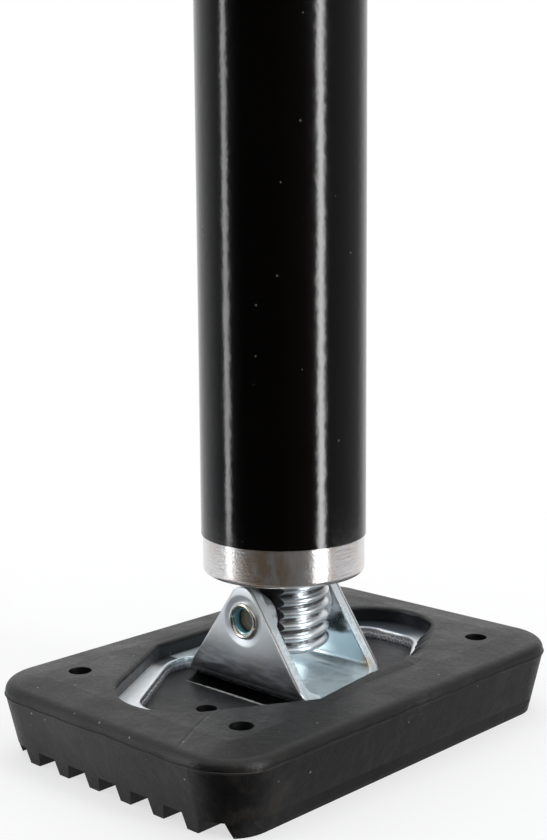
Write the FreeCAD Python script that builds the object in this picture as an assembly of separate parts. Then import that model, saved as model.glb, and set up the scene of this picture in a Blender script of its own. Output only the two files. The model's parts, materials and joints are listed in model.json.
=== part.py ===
import FreeCAD, Part
import math
import os

V = FreeCAD.Vector
X_AXIS = V(1, 0, 0)
Y_AXIS = V(0, 1, 0)
Z_AXIS = V(0, 0, 1)

# Adjustable steel prop, in millimetres. The sole of the foot stands on Z = 0 with the
# prop's axis on Z. X runs along the pivot rivet and the long side of the rubber pad.

# Tubes
tube_diameter = 40.0
tube_wall = 2.0
tube_length = 449.0
inner_tube_diameter = 32.0
inner_tube_wall = 2.0
inner_tube_length = 405.0

# Screw: a trapezoidal spindle of 22 x 3 turning in a nut that closes the tube
spindle_diameter = 22.0
screw_travel = 60.0
nut_collar_height = 9.3
nut_collar_reveal = 0.4
nut_insert_depth = 28.0
nut_edge_round = 1.2

# Rubber pad: rounded rectangle, widest at the mould's parting line
pad_length = 120.0
pad_width = 83.0
pad_corner = 13.0
parting_height = 15.4
shoulder_height = 18.1
pad_height = 19.1
crown_margin = 9.5
pad_edge_round = 2.3
sole_inset = 3.4
side_step = 0.6
rib_count = 8
rib_edge = 4.26
rib_height = 3.7
rib_root = 4.9
rib_tip = 3.3
corner_hole_diameter = 5.5
corner_hole_end = 17.7
corner_hole_side = 14.5
floor_hole_diameter = 5.0
floor_hole_from_ear = 12.3
floor_hole_depth = 6.0
floor_recess_depth = 2.0
floor_recess_margin = 1.8
floor_recess_ramp = 6.0

# Opening of the pad: a stretched hexagon with round ends, whose lip holds the steel plate down
lip_end_border = 11.3
lip_side_border = 13.5
lip_end_round = 16.8
lip_past_ear = 2.2
lip_corner = 4.0
lip_round = 1.0
lip_draft = 0.6
plate_overlap = 4.5

# Stamped plate with two ears lanced from it and bent up
plate_seat = 12.1
sheet = 3.0
bend_radius = 3.0
rim_strip = 3.0
rim_end_strip = 7.2
opening_end_half = 7.9
opening_corner = 10.0
opening_end_corner = 8.0
relief_corner = 2.4
rivet_above_plate = 15.4
ear_above_rivet = 8.3
ear_tip_radius = 4.3
ear_half_angle = 35.5
plunge_depth = 3.1
plunge_wall = 1.9
dish_depth = 0.35
dish_run = 1.7

# Hollow rivet that the foot swings on
rivet_diameter = 7.4
rivet_wall = 0.8
rivet_rim = 0.8
rivet_proud = 0.5

# Spindle end between the ears
tongue_below_rivet = 8.4
tongue_chamfer = 0.8
flats_above_plunge = 0.8
flats_into_nut = 4.0
collar_above_rivet = 10.1

# Guide disc and snap ring on the inner end of the spindle
guide_thickness = 10.0
journal_diameter = 14.0
snap_ring_thickness = 1.2
snap_ring_reach = 2.5
snap_ring_groove = 1.2
snap_ring_gap = 5.0
journal_end = 2.0

# Sliding ring at the foot of the inner tube and bush in the mouth of the outer tube
slide_ring_height = 6.0
slide_ring_spigot = 16.0
slide_ring_wall = 3.0
bush_flange_height = 5.0
bush_flange_reach = 2.0
bush_skirt = 30.0

# Clamp screw that holds the inner tube
clamp_below_mouth = 50.0
clamp_screw_diameter = 10.0
clamp_screw_length = 25.0
boss_diameter = 18.0
boss_reach = 11.0
boss_relief_depth = 4.0
shoe_outer_reach = 0.6
shoe_pin_diameter = 4.8
shoe_pin_length = 1.5
head_diameter = 16.0
head_length = 10.0
head_chamfer = 1.0
bar_diameter = 6.0
bar_length = 60.0
bar_chamfer = 1.0

# Plug that closes the inner tube and carries the head
stem_spigot = 27.0
stem_reveal = 0.4

# Clearances
running_fit = 0.05
seat_fit = 0.05
slide_clearance = 0.3
ear_clearance = 0.4
tongue_clearance = 0.3
end_clearance = 1.0
spindle_gap = 2.0
pocket_clearance = 0.2
cut_margin = 1.0
edge_tolerance = 0.001

# Radii that follow from the sizes above
tube_radius = tube_diameter / 2
tube_bore = tube_radius - tube_wall
inner_tube_radius = inner_tube_diameter / 2
inner_tube_bore = inner_tube_radius - inner_tube_wall
spindle_radius = spindle_diameter / 2
rivet_radius = rivet_diameter / 2
journal_radius = journal_diameter / 2
clamp_screw_radius = clamp_screw_diameter / 2

# Heights and places that follow from the sizes above
plate_top = plate_seat + sheet
rivet_height = plate_top + rivet_above_plate
ear_top = rivet_height + ear_above_rivet
ear_inner = spindle_radius + ear_clearance
ear_outer = ear_inner + sheet
bend_line = ear_inner - bend_radius
bend_top = plate_top + bend_radius
ear_slope = math.radians(ear_half_angle)
rib_pitch = (pad_width - 2 * rib_edge) / (rib_count - 1)
corner_hole_x = pad_length / 2 - corner_hole_end
corner_hole_y = pad_width / 2 - corner_hole_side
floor_hole_x = ear_outer + floor_hole_from_ear
lip_half_length = pad_length / 2 - lip_end_border
lip_half_width = pad_width / 2 - lip_side_border
lip_side_half = ear_outer + lip_past_ear
ear_apex = ear_top + ear_tip_radius * (1 / math.sin(ear_slope) - 1)
ear_base_half = (ear_apex - bend_top) * math.tan(ear_slope)
rivet_hole = rivet_radius + running_fit
plunge_radius = rivet_hole + plunge_wall
tongue_half = ear_inner - plunge_depth - tongue_clearance
tongue_end = rivet_height - tongue_below_rivet
stem_flats_top = rivet_height + plunge_radius + flats_above_plunge
nut_bottom = rivet_height + collar_above_rivet
spindle_flats_top = nut_bottom + flats_into_nut
tube_bottom = nut_bottom + nut_collar_height
tube_top = tube_bottom + tube_length
nut_top = tube_bottom + nut_insert_depth
guide_bottom = nut_top + screw_travel + end_clearance
guide_top = guide_bottom + guide_thickness
snap_ring_bottom = guide_top + slide_clearance
spindle_end = snap_ring_bottom + snap_ring_thickness + journal_end
slide_ring_bottom = spindle_end + spindle_gap
inner_tube_bottom = slide_ring_bottom + slide_ring_height
inner_tube_top = inner_tube_bottom + inner_tube_length
closed_height = inner_tube_top + tube_bottom
clamp_height = tube_top - clamp_below_mouth
boss_end = tube_radius + boss_reach
boss_relief_end = tube_radius + boss_relief_depth
shoe_inner = inner_tube_radius + slide_clearance
shoe_outer = tube_radius - shoe_outer_reach
head_start = shoe_outer + clamp_screw_length
head_end = head_start + head_length
bar_place = head_start + head_length / 2


def rounded_outline(corners):
    """Closed wire at Z = 0 through (x, y, radius) corners listed anticlockwise."""
    edges = []
    arcs = []
    count = len(corners)
    for i in range(count):
        here = V(corners[i][0], corners[i][1], 0)
        radius = corners[i][2]
        before = V(corners[i - 1][0], corners[i - 1][1], 0) - here
        after = V(corners[(i + 1) % count][0], corners[(i + 1) % count][1], 0) - here
        before.normalize()
        after.normalize()
        half = before.getAngle(after) / 2
        run = radius / math.tan(half)
        inward = before + after
        inward.normalize()
        middle = here + inward * (radius / math.sin(half) - radius)
        arcs.append((here + before * run, middle, here + after * run, radius))
    for i in range(count):
        start, middle, end, radius = arcs[i]
        if radius > 0:
            edges.append(Part.Arc(start, middle, end).toShape())
        edges.append(Part.makeLine(end, arcs[(i + 1) % count][0]))
    return Part.Wire(edges)


def grown(corners, distance):
    """The same convex outline moved outwards by a distance, its corner radii with it."""
    result = []
    count = len(corners)
    for i in range(count):
        here = V(corners[i][0], corners[i][1], 0)
        into = here - V(corners[i - 1][0], corners[i - 1][1], 0)
        out = V(corners[(i + 1) % count][0], corners[(i + 1) % count][1], 0) - here
        into.normalize()
        out.normalize()
        normal_in = V(into.y, -into.x, 0)
        normal_out = V(out.y, -out.x, 0)
        shift = (normal_in + normal_out) * (distance / (1 + normal_in.dot(normal_out)))
        place = here + shift
        result.append((place.x, place.y, corners[i][2] + distance))
    return result


def rectangle(length, width, corner):
    """Corners of a rounded rectangle about the Z axis."""
    x = length / 2
    y = width / 2
    return [(x, -y, corner), (x, y, corner), (-x, y, corner), (-x, -y, corner)]


def stretched_hexagon(half_length, half_width, side_half, end_round, corner):
    """Corners of the pad's opening: long sides, and slanted sides tangent to the round ends."""
    end_centre = half_length - end_round
    along = end_centre - side_half
    taper = math.atan2(half_width, along) - math.asin(end_round / math.hypot(along, half_width))
    tip = side_half + half_width / math.tan(taper)
    return [(tip, 0, end_round), (side_half, half_width, corner), (-side_half, half_width, corner),
            (-tip, 0, end_round), (-side_half, -half_width, corner), (side_half, -half_width, corner)]


def at_height(corners, z):
    """Rounded outline lifted to a height."""
    return rounded_outline(corners).translated(V(0, 0, z))


def slab(corners, bottom, top):
    """Rounded outline filled between two heights."""
    return Part.Face(at_height(corners, bottom)).extrude(V(0, 0, top - bottom))


def rod(radius, start, end, axis, centre=V(0, 0, 0)):
    """Cylinder along an axis between two distances from a centre."""
    return Part.makeCylinder(radius, end - start, centre + axis * start, axis)


def turned(profile):
    """Solid of revolution about Z from closed (radius, height) points."""
    points = [V(r, 0, z) for r, z in profile]
    face = Part.Face(Part.makePolygon(points + points[:1]))
    return face.revolve(V(0, 0, 0), Z_AXIS, 360)


def both_ends(shape):
    """A shape and its copy on the other side of the YZ plane."""
    return [shape, shape.mirror(V(0, 0, 0), X_AXIS)]


def turned_over(shape):
    """The same piece turned upside down to the other end of the closed prop."""
    return shape.rotated(V(0, 0, closed_height / 2), X_AXIS, 180)


lip_outline = stretched_hexagon(lip_half_length, lip_half_width, lip_side_half, lip_end_round, lip_corner)
plate_outline = grown(lip_outline, plate_overlap)


def sole_envelope_inset(z):
    """How far the drafted side lies inside the parting line at a height."""
    return sole_inset * (1 - z / parting_height)


def pad_section(inset, z):
    """Outline of the pad drawn in by an inset, at a height."""
    return at_height(rectangle(pad_length - 2 * inset, pad_width - 2 * inset, pad_corner - inset), z)


def pad_block():
    """Drafted block below the parting line, upright band and low crown above it."""
    lower = Part.makeLoft([pad_section(sole_inset, 0), pad_section(0, parting_height)], True, True)
    band = slab(rectangle(pad_length, pad_width, pad_corner), parting_height, shoulder_height)
    crown = Part.makeLoft(
        [pad_section(0, shoulder_height), pad_section(crown_margin, pad_height)], True, True)
    block = lower.fuse([band, crown]).removeSplitter()
    brow = [e for e in block.Edges if e.BoundBox.ZMin > shoulder_height - edge_tolerance
            and e.BoundBox.ZMax < shoulder_height + edge_tolerance]
    return block.makeFillet(pad_edge_round, brow)


def sole_groove(y):
    """Trapezoid groove between two ribs, running the length of the sole."""
    flare = (rib_root - rib_tip) / 2 / rib_height
    top_half = (rib_pitch - rib_root) / 2
    low_half = top_half + flare * (rib_height + cut_margin)
    x = -pad_length / 2
    section = [V(x, y - low_half, -cut_margin), V(x, y + low_half, -cut_margin),
               V(x, y + top_half, rib_height), V(x, y - top_half, rib_height)]
    return Part.Face(Part.makePolygon(section + section[:1])).extrude(V(pad_length, 0, 0))


def side_rebates():
    """Small step along both long sides of the sole, level with the roots of the ribs."""
    step_at = pad_width / 2 - sole_envelope_inset(rib_height) - side_step
    bar = Part.makeBox(pad_length, pad_width, rib_height + cut_margin,
                       V(-pad_length / 2, step_at, -cut_margin))
    return [bar, bar.mirror(V(0, 0, 0), Y_AXIS)]


def pad():
    """Rubber pad: lip over the plate, pocket for it, floor under it and ribbed sole."""
    opening = Part.makeLoft([at_height(grown(lip_outline, lip_draft), plate_top),
                             at_height(lip_outline, pad_height)], True, True)
    opening = opening.fuse(slab(lip_outline, pad_height, pad_height + cut_margin))
    pocket = slab(grown(plate_outline, pocket_clearance), plate_seat, plate_top)
    recess_half = ear_outer + floor_recess_margin
    recess_side = ear_base_half + floor_recess_margin
    recess_floor = recess_side - floor_recess_ramp
    section = [V(-recess_half, -recess_side, plate_seat), V(-recess_half, recess_side, plate_seat),
               V(-recess_half, recess_floor, plate_seat - floor_recess_depth),
               V(-recess_half, -recess_floor, plate_seat - floor_recess_depth)]
    recess = Part.Face(Part.makePolygon(section + section[:1])).extrude(V(2 * recess_half, 0, 0))
    body = pad_block().cut(opening)
    lip_edges = [e for e in body.Edges if e.BoundBox.ZMin > pad_height - edge_tolerance
                 and abs(e.BoundBox.Center.x) < lip_half_length + lip_corner
                 and abs(e.BoundBox.Center.y) < lip_half_width + edge_tolerance]
    body = body.makeFillet(lip_round, lip_edges)
    tools = [pocket, recess]
    for i in range(rib_count - 1):
        tools.append(sole_groove((i - (rib_count - 2) / 2) * rib_pitch))
    tools += side_rebates()
    for sx in (-1, 1):
        for sy in (-1, 1):
            place = V(sx * corner_hole_x, sy * corner_hole_y, 0)
            tools.append(rod(corner_hole_diameter / 2, -cut_margin, pad_height + cut_margin, Z_AXIS, place))
        place = V(sx * floor_hole_x, 0, 0)
        tools.append(rod(floor_hole_diameter / 2, plate_seat - floor_hole_depth, plate_top, Z_AXIS, place))
    return body.cut(tools)


def ear():
    """Ear on the +X side: a round-topped triangle of sheet whose edges run on through the bend."""
    centre = V(bend_line, 0, bend_top)
    corner = math.sqrt(0.5)
    inner = bend_radius
    outer = bend_radius + sheet
    section = Part.Wire([
        Part.Arc(centre + V(0, 0, -outer), centre + V(outer * corner, 0, -outer * corner),
                 centre + V(outer, 0, 0)).toShape(),
        Part.makeLine(centre + V(outer, 0, 0), centre + V(inner, 0, 0)),
        Part.Arc(centre + V(inner, 0, 0), centre + V(inner * corner, 0, -inner * corner),
                 centre + V(0, 0, -inner)).toShape(),
        Part.makeLine(centre + V(0, 0, -inner), centre + V(0, 0, -outer))])
    foot_half = (ear_apex - plate_seat) * math.tan(ear_slope)
    bend = Part.Face(section.translated(V(0, -foot_half, 0))).extrude(V(0, 2 * foot_half, 0))
    outline = rounded_outline([(-foot_half, plate_seat, 0), (foot_half, plate_seat, 0),
                               (0, ear_apex, ear_tip_radius)])
    blank = Part.Face(outline).extrude(V(0, 0, ear_outer - bend_line))
    blank.rotate(V(0, 0, 0), X_AXIS, 90)
    blank.rotate(V(0, 0, 0), Z_AXIS, 90)
    blank.translate(V(bend_line, 0, 0))
    wall = Part.makeBox(sheet, 2 * foot_half, ear_top - bend_top + cut_margin,
                        V(ear_inner, -foot_half, bend_top))
    plunge = rod(plunge_radius, ear_inner - plunge_depth, ear_inner, X_AXIS, V(0, 0, rivet_height))
    return bend.fuse(wall).common(blank).fuse(plunge)


def rivet_seat():
    """Hole of one ear, with the shallow dish that takes the rolled rim of the rivet."""
    centre = V(0, 0, rivet_height)
    hole = rod(rivet_hole, 0, ear_outer + cut_margin, X_AXIS, centre)
    seat_radius = rivet_radius + rivet_rim + running_fit
    dish = Part.makeCone(seat_radius, seat_radius + dish_run, dish_depth,
                         centre + X_AXIS * (ear_outer - dish_depth), X_AXIS)
    return hole.fuse(dish)


def plate():
    """Stamped plate: hexagonal rim, two lanced openings, two ears bent up beside the spindle."""
    side_x, side_y, _ = grown(lip_outline, -rim_strip)[1]
    end_x = lip_half_length - rim_end_strip
    end_y = opening_end_half
    opening = slab([(end_x, -end_y, opening_end_corner), (end_x, end_y, opening_end_corner),
                    (side_x, side_y, opening_corner), (bend_line, side_y, relief_corner),
                    (bend_line, -side_y, relief_corner), (side_x, -side_y, opening_corner)],
                   plate_seat - cut_margin, plate_top + cut_margin)
    sheet_body = slab(plate_outline, plate_seat, plate_top).cut(both_ends(opening))
    whole = sheet_body.fuse(both_ends(ear()))
    return whole.cut(both_ends(rivet_seat())).removeSplitter()


def rivet():
    """Tubular rivet along X with a rolled rim at each end, seated in the ears' dishes."""
    bore = rivet_radius - rivet_wall
    rim = rivet_radius + rivet_rim
    seat = ear_outer - dish_depth
    end = ear_outer + rivet_proud
    mouth = bore + rivet_wall / 2
    roll = (rim - mouth) / 2
    edges = [
        Part.makeLine(V(0, 0, bore), V(seat, 0, bore)),
        Part.makeLine(V(seat, 0, bore), V(end - roll, 0, mouth)),
        Part.Arc(V(end - roll, 0, mouth), V(end, 0, mouth + roll), V(end - roll, 0, rim)).toShape(),
        Part.makeLine(V(end - roll, 0, rim), V(seat, 0, rim)),
        Part.makeLine(V(seat, 0, rim), V(seat, 0, rivet_radius)),
        Part.makeLine(V(seat, 0, rivet_radius), V(0, 0, rivet_radius)),
        Part.makeLine(V(0, 0, rivet_radius), V(0, 0, bore))]
    half = Part.Face(Part.Wire(edges)).revolve(V(0, 0, 0), X_AXIS, 360)
    whole = half.fuse(half.mirror(V(0, 0, 0), X_AXIS)).removeSplitter()
    return whole.translated(V(0, 0, rivet_height))


def tongue_cuts(end, flats_top):
    """Two flats that leave the tongue between the ears, and the cross hole for the rivet."""
    reach = spindle_diameter
    flat = Part.makeBox(reach, 2 * reach, flats_top - end + cut_margin,
                        V(tongue_half, -reach, end - cut_margin))
    hole = rod(rivet_hole, -reach, reach, X_AXIS, V(0, 0, rivet_height))
    return both_ends(flat) + [hole]


def spindle():
    """Screw spindle at its outer thread diameter, with tongue, shoulder, journal and ring groove."""
    groove = journal_radius - snap_ring_groove
    body = turned([
        (0, tongue_end), (spindle_radius - tongue_chamfer, tongue_end),
        (spindle_radius, tongue_end + tongue_chamfer), (spindle_radius, guide_bottom - slide_clearance),
        (journal_radius, guide_bottom - slide_clearance), (journal_radius, snap_ring_bottom),
        (groove, snap_ring_bottom), (groove, snap_ring_bottom + snap_ring_thickness),
        (journal_radius, snap_ring_bottom + snap_ring_thickness), (journal_radius, spindle_end),
        (0, spindle_end)])
    return body.cut(tongue_cuts(tongue_end, spindle_flats_top))


def snap_ring():
    """Open snap ring in the groove above the guide disc."""
    inner = journal_radius - snap_ring_groove + seat_fit
    outer = journal_radius + snap_ring_reach
    low = snap_ring_bottom + seat_fit
    high = snap_ring_bottom + snap_ring_thickness - seat_fit
    ring = rod(outer, low, high, Z_AXIS).cut(rod(inner, low, high, Z_AXIS))
    mouth = Part.makeBox(outer + cut_margin, snap_ring_gap, high - low, V(0, -snap_ring_gap / 2, low))
    return ring.cut(mouth)


def guide_disc():
    """Disc that keeps the spindle central in the tube and stops it against the nut."""
    disc = rod(tube_bore - slide_clearance, guide_bottom, guide_top, Z_AXIS)
    return disc.cut(rod(journal_radius + running_fit, guide_bottom, guide_top, Z_AXIS))


def collar_nut():
    """Turned nut: a collar under the tube's end and a long insert seated in its bore."""
    bore = spindle_radius + running_fit
    collar = tube_radius - nut_collar_reveal
    insert = tube_bore - seat_fit
    body = turned([(bore, nut_bottom), (collar, nut_bottom), (collar, tube_bottom),
                   (insert, tube_bottom), (insert, nut_top), (bore, nut_top)])
    brow = [e for e in body.Edges if abs(e.BoundBox.ZMax - nut_bottom) < edge_tolerance
            and e.BoundBox.XMax > collar - edge_tolerance]
    return body.makeFillet(nut_edge_round, brow)


def outer_tube():
    """Outer tube, with one hole for the clamp's shoe."""
    body = rod(tube_radius, tube_bottom, tube_top, Z_AXIS).cut(rod(tube_bore, tube_bottom, tube_top, Z_AXIS))
    hole = rod(clamp_screw_radius + slide_clearance, 0, tube_diameter, X_AXIS, V(0, 0, clamp_height))
    return body.cut(hole)


def guide_bush():
    """Flanged bush in the mouth of the outer tube."""
    bore = inner_tube_radius + slide_clearance
    skirt = tube_bore - seat_fit
    flange = tube_radius + bush_flange_reach
    return turned([(bore, tube_top - bush_skirt), (skirt, tube_top - bush_skirt), (skirt, tube_top),
                   (flange, tube_top), (flange, tube_top + bush_flange_height),
                   (bore, tube_top + bush_flange_height)])


def inner_tube():
    """Plain inner tube."""
    body = rod(inner_tube_radius, inner_tube_bottom, inner_tube_top, Z_AXIS)
    return body.cut(rod(inner_tube_bore, inner_tube_bottom, inner_tube_top, Z_AXIS))


def slide_ring():
    """Ring on the lower end of the inner tube that runs in the outer tube."""
    spigot = inner_tube_bore - seat_fit
    bore = spigot - slide_ring_wall
    outer = tube_bore - slide_clearance
    return turned([(bore, slide_ring_bottom), (outer, slide_ring_bottom), (outer, inner_tube_bottom),
                   (spigot, inner_tube_bottom), (spigot, inner_tube_bottom + slide_ring_spigot),
                   (bore, inner_tube_bottom + slide_ring_spigot)])


def clamp_boss():
    """Round boss on the side of the outer tube, saddled to it and bored for the clamp screw."""
    centre = V(0, 0, clamp_height)
    body = rod(boss_diameter / 2, 0, boss_end, X_AXIS, centre)
    relief = rod(clamp_screw_radius + slide_clearance, 0, boss_relief_end, X_AXIS, centre)
    bore = rod(clamp_screw_radius + running_fit, 0, boss_end, X_AXIS, centre)
    saddle = rod(tube_radius + seat_fit, clamp_height - boss_diameter, clamp_height + boss_diameter, Z_AXIS)
    return body.cut([relief, bore, saddle])


def clamp_shoe():
    """Pressure pad on the tip of the clamp screw, hollowed to the inner tube."""
    centre = V(0, 0, clamp_height)
    body = rod(clamp_screw_radius, inner_tube_bore, shoe_outer, X_AXIS, centre)
    tube = rod(shoe_inner, clamp_height - boss_diameter, clamp_height + boss_diameter, Z_AXIS)
    socket = rod(shoe_pin_diameter / 2 + running_fit, shoe_outer - shoe_pin_length - running_fit,
                 shoe_outer, X_AXIS, centre)
    return body.cut([tube, socket])


def clamp_screw():
    """Clamp screw with a pin at its tip and a cross-drilled head."""
    pin = shoe_pin_diameter / 2
    head = head_diameter / 2
    body = turned([(0, shoe_outer - shoe_pin_length), (pin, shoe_outer - shoe_pin_length),
                   (pin, shoe_outer + running_fit), (clamp_screw_radius, shoe_outer + running_fit),
                   (clamp_screw_radius, head_start), (head - head_chamfer, head_start),
                   (head, head_start + head_chamfer), (head, head_end - head_chamfer),
                   (head - head_chamfer, head_end), (0, head_end)])
    body.rotate(V(0, 0, 0), Y_AXIS, 90)
    body.translate(V(0, 0, clamp_height))
    cross_hole = rod(bar_diameter / 2, -head_diameter, head_diameter, Y_AXIS, V(bar_place, 0, clamp_height))
    return body.cut(cross_hole)


def clamp_bar():
    """Cross bar pressed through the head of the clamp screw."""
    radius = bar_diameter / 2 - seat_fit
    half = bar_length / 2
    body = turned([(0, -half), (radius - bar_chamfer, -half), (radius, bar_chamfer - half),
                   (radius, half - bar_chamfer), (radius - bar_chamfer, half), (0, half)])
    body.rotate(V(0, 0, 0), X_AXIS, 90)
    return body.translated(V(bar_place, 0, clamp_height))


def head_stem():
    """Plug of the inner tube drawn at the foot's end, with collar and tongue for the head."""
    collar = inner_tube_radius - stem_reveal
    spigot = inner_tube_bore - seat_fit
    body = turned([
        (0, tongue_end), (spindle_radius - tongue_chamfer, tongue_end),
        (spindle_radius, tongue_end + tongue_chamfer), (spindle_radius, nut_bottom),
        (collar, nut_bottom), (collar, tube_bottom), (spigot, tube_bottom),
        (spigot, tube_bottom + stem_spigot), (0, tube_bottom + stem_spigot)])
    brow = [e for e in body.Edges if abs(e.BoundBox.ZMin - nut_bottom) < edge_tolerance
            and e.BoundBox.ZLength < edge_tolerance and e.BoundBox.XMax > collar - edge_tolerance]
    return body.makeFillet(nut_edge_round, brow).cut(tongue_cuts(tongue_end, stem_flats_top))


pieces = {
    "foot_pad": pad(),
    "foot_plate": plate(),
    "foot_rivet": rivet(),
    "spindle": spindle(),
    "spindle_guide": guide_disc(),
    "spindle_snap_ring": snap_ring(),
    "collar_nut": collar_nut(),
    "outer_tube": outer_tube(),
    "guide_bush": guide_bush(),
    "inner_tube": inner_tube(),
    "slide_ring": slide_ring(),
    "clamp_boss": clamp_boss(),
    "clamp_shoe": clamp_shoe(),
    "clamp_screw": clamp_screw(),
    "clamp_bar": clamp_bar(),
    "head_stem": turned_over(head_stem()),
}
pieces["head_pad"] = turned_over(pieces["foot_pad"])
pieces["head_plate"] = turned_over(pieces["foot_plate"])
pieces["head_rivet"] = turned_over(pieces["foot_rivet"])

os.makedirs("parts", exist_ok=True)
for name, shape in pieces.items():
    shape.exportStep("parts/" + name + ".step")
    box = shape.BoundBox
    print(name, "solids", len(shape.Solids), "valid", shape.isValid(),
          "volume", round(shape.Volume, 1), "z", round(box.ZMin, 2), round(box.ZMax, 2))
print("closed height", round(closed_height, 2), "rivet at", round(rivet_height, 2),
      "clamp at", round(clamp_height, 2))
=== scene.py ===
# %% [markdown]
# # Adjustable steel prop
# A short telescopic prop: a gloss black tube, a zinc-plated screw spindle under it and a
# swivelling rubber foot. The solids are loaded as a fixed frame. This lesson gives each of them
# a finish, and makes the pieces that need finer geometry than a plain solid has, such as threads.

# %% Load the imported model
import json
import math
import random

import bmesh
import bpy
from mathutils import Matrix, Vector


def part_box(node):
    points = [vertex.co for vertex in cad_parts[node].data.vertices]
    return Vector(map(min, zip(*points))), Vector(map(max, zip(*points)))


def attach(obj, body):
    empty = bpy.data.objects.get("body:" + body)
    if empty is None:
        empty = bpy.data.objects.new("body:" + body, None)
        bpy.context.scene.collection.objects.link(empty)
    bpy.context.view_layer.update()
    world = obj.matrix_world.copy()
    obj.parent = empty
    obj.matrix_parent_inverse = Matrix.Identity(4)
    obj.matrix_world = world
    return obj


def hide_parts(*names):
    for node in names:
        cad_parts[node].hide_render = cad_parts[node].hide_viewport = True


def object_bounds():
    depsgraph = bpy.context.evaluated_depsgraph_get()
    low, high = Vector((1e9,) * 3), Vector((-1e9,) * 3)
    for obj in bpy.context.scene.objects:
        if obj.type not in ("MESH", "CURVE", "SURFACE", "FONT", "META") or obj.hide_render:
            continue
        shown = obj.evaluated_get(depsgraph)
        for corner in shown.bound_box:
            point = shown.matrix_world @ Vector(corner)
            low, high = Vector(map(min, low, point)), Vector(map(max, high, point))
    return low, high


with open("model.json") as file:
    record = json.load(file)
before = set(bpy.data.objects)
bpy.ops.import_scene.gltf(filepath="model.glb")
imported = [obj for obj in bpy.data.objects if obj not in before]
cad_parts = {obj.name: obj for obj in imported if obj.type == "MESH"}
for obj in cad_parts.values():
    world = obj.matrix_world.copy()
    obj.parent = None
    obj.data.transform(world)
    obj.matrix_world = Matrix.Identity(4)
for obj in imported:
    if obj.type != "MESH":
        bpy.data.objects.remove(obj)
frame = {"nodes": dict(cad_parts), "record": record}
nodes = frame["nodes"]
cad_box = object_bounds()
total_height = cad_box[1][2]
scene = bpy.context.scene
MM = 0.001
print("solids", len(nodes), "box", [list(corner) for corner in cad_box])

# %% [markdown]
# ## Camera
# The picture is a close view of the foot, taken from a little above and from the left of the
# pad's long side. The place, the heading and the focal length come from fitting the edges of the
# tube, the corner holes and the ribs of the sole, so the model falls on the same places.

# %% Camera at the photo's viewing angle
IMAGE_HEIGHT = 840
FOCAL_PIXELS = 1487.445
SENSOR_HEIGHT = 24.0
NEAREST_SEEN = 0.01
camera_place = Vector((-256.784, -241.088, 133.724)) * MM
camera_pitch, camera_heading, camera_roll = 0.159, 0.81048, -0.00734


def new_object(name, data):
    """Object of a mesh, a lamp or a camera, linked to the scene."""
    made = bpy.data.objects.new(name, data)
    scene.collection.objects.link(made)
    return made


forward = Vector((math.sin(camera_heading) * math.cos(camera_pitch),
                  math.cos(camera_heading) * math.cos(camera_pitch), -math.sin(camera_pitch)))
level_right = Vector((math.cos(camera_heading), -math.sin(camera_heading), 0))
level_up = level_right.cross(forward)
right = level_right * math.cos(camera_roll) + level_up * math.sin(camera_roll)
up = level_up * math.cos(camera_roll) - level_right * math.sin(camera_roll)

camera_data = bpy.data.cameras.new("photo_camera")
camera_data.sensor_fit = "VERTICAL"
camera_data.sensor_height = SENSOR_HEIGHT
camera_data.lens = FOCAL_PIXELS / IMAGE_HEIGHT * SENSOR_HEIGHT
camera_data.clip_start = NEAREST_SEEN
camera = new_object("photo_camera", camera_data)
camera_turn = Matrix((right, up, -forward)).transposed().to_4x4()
camera.matrix_world = Matrix.Translation(camera_place) @ camera_turn
scene.camera = camera
print("lens", round(camera_data.lens, 2), "mm")

# %% [markdown]
# ## Node helpers
# A material is a small graph. One helper adds a node with its options and its sockets, and a few
# short ones stand for the nodes that come up again and again: arithmetic, a part of a vector, a
# range stretched over another, soft noise, a blend, a fine relief. Only one graph is built at a
# time, so all helpers work on the one that was opened last, which is kept in tree.


# %% Helpers that place nodes
def connect(node, sockets):
    """Give each named input of a node a link or a value."""
    for name, value in sockets.items():
        if isinstance(value, bpy.types.NodeSocket):
            tree.links.new(value, node.inputs[name])
        else:
            node.inputs[name].default_value = value


def place(kind, sockets=None, **options):
    """Add a node, set its options, and give its sockets values or links."""
    made = tree.nodes.new("ShaderNode" + kind)
    for name, value in options.items():
        setattr(made, name, value)
    connect(made, sockets or {})
    return made


def new_material(name):
    """Empty material and its Principled shader; its tree is the one that is built from here on."""
    global tree
    material = bpy.data.materials.new(name)
    material.use_nodes = True
    tree = material.node_tree
    return material, tree.nodes["Principled BSDF"]


print("node helpers ready")


# %% Helpers for arithmetic
def calc(operation, first, *others):
    """Arithmetic on values or sockets, carried on from the first to the last."""
    result = first
    for other in others or (0.0,):
        result = place("Math", {0: result, 1: other}, operation=operation).outputs[0]
    return result


def times(*factors):
    """Product of values or sockets."""
    return calc("MULTIPLY", *factors)


def plus(*terms):
    """Sum of values or sockets."""
    return calc("ADD", *terms)


def minus(first, second):
    """Difference of two values or sockets."""
    return calc("SUBTRACT", first, second)


def larger(*values):
    """Largest of some values or sockets."""
    return calc("MAXIMUM", *values)


def remap(value, low, high, to_low=0.0, to_high=1.0):
    """Stretch a range of a value over another range, clamped and eased."""
    sockets = {"Value": value, "From Min": low, "From Max": high, "To Min": to_low, "To Max": to_high}
    return place("MapRange", sockets, interpolation_type="SMOOTHSTEP").outputs[0]


def vector_calc(operation, first, second=None):
    """One step on vectors; a length, a distance or a dot product gives a value."""
    sockets = {0: first} if second is None else {0: first, 1: second}
    output = "Value" if operation in ("LENGTH", "DISTANCE", "DOT_PRODUCT") else "Vector"
    return place("VectorMath", sockets, operation=operation).outputs[output]


def axis(vector, name):
    """X, Y or Z of a vector."""
    return place("SeparateXYZ", {0: vector}).outputs[name]


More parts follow.
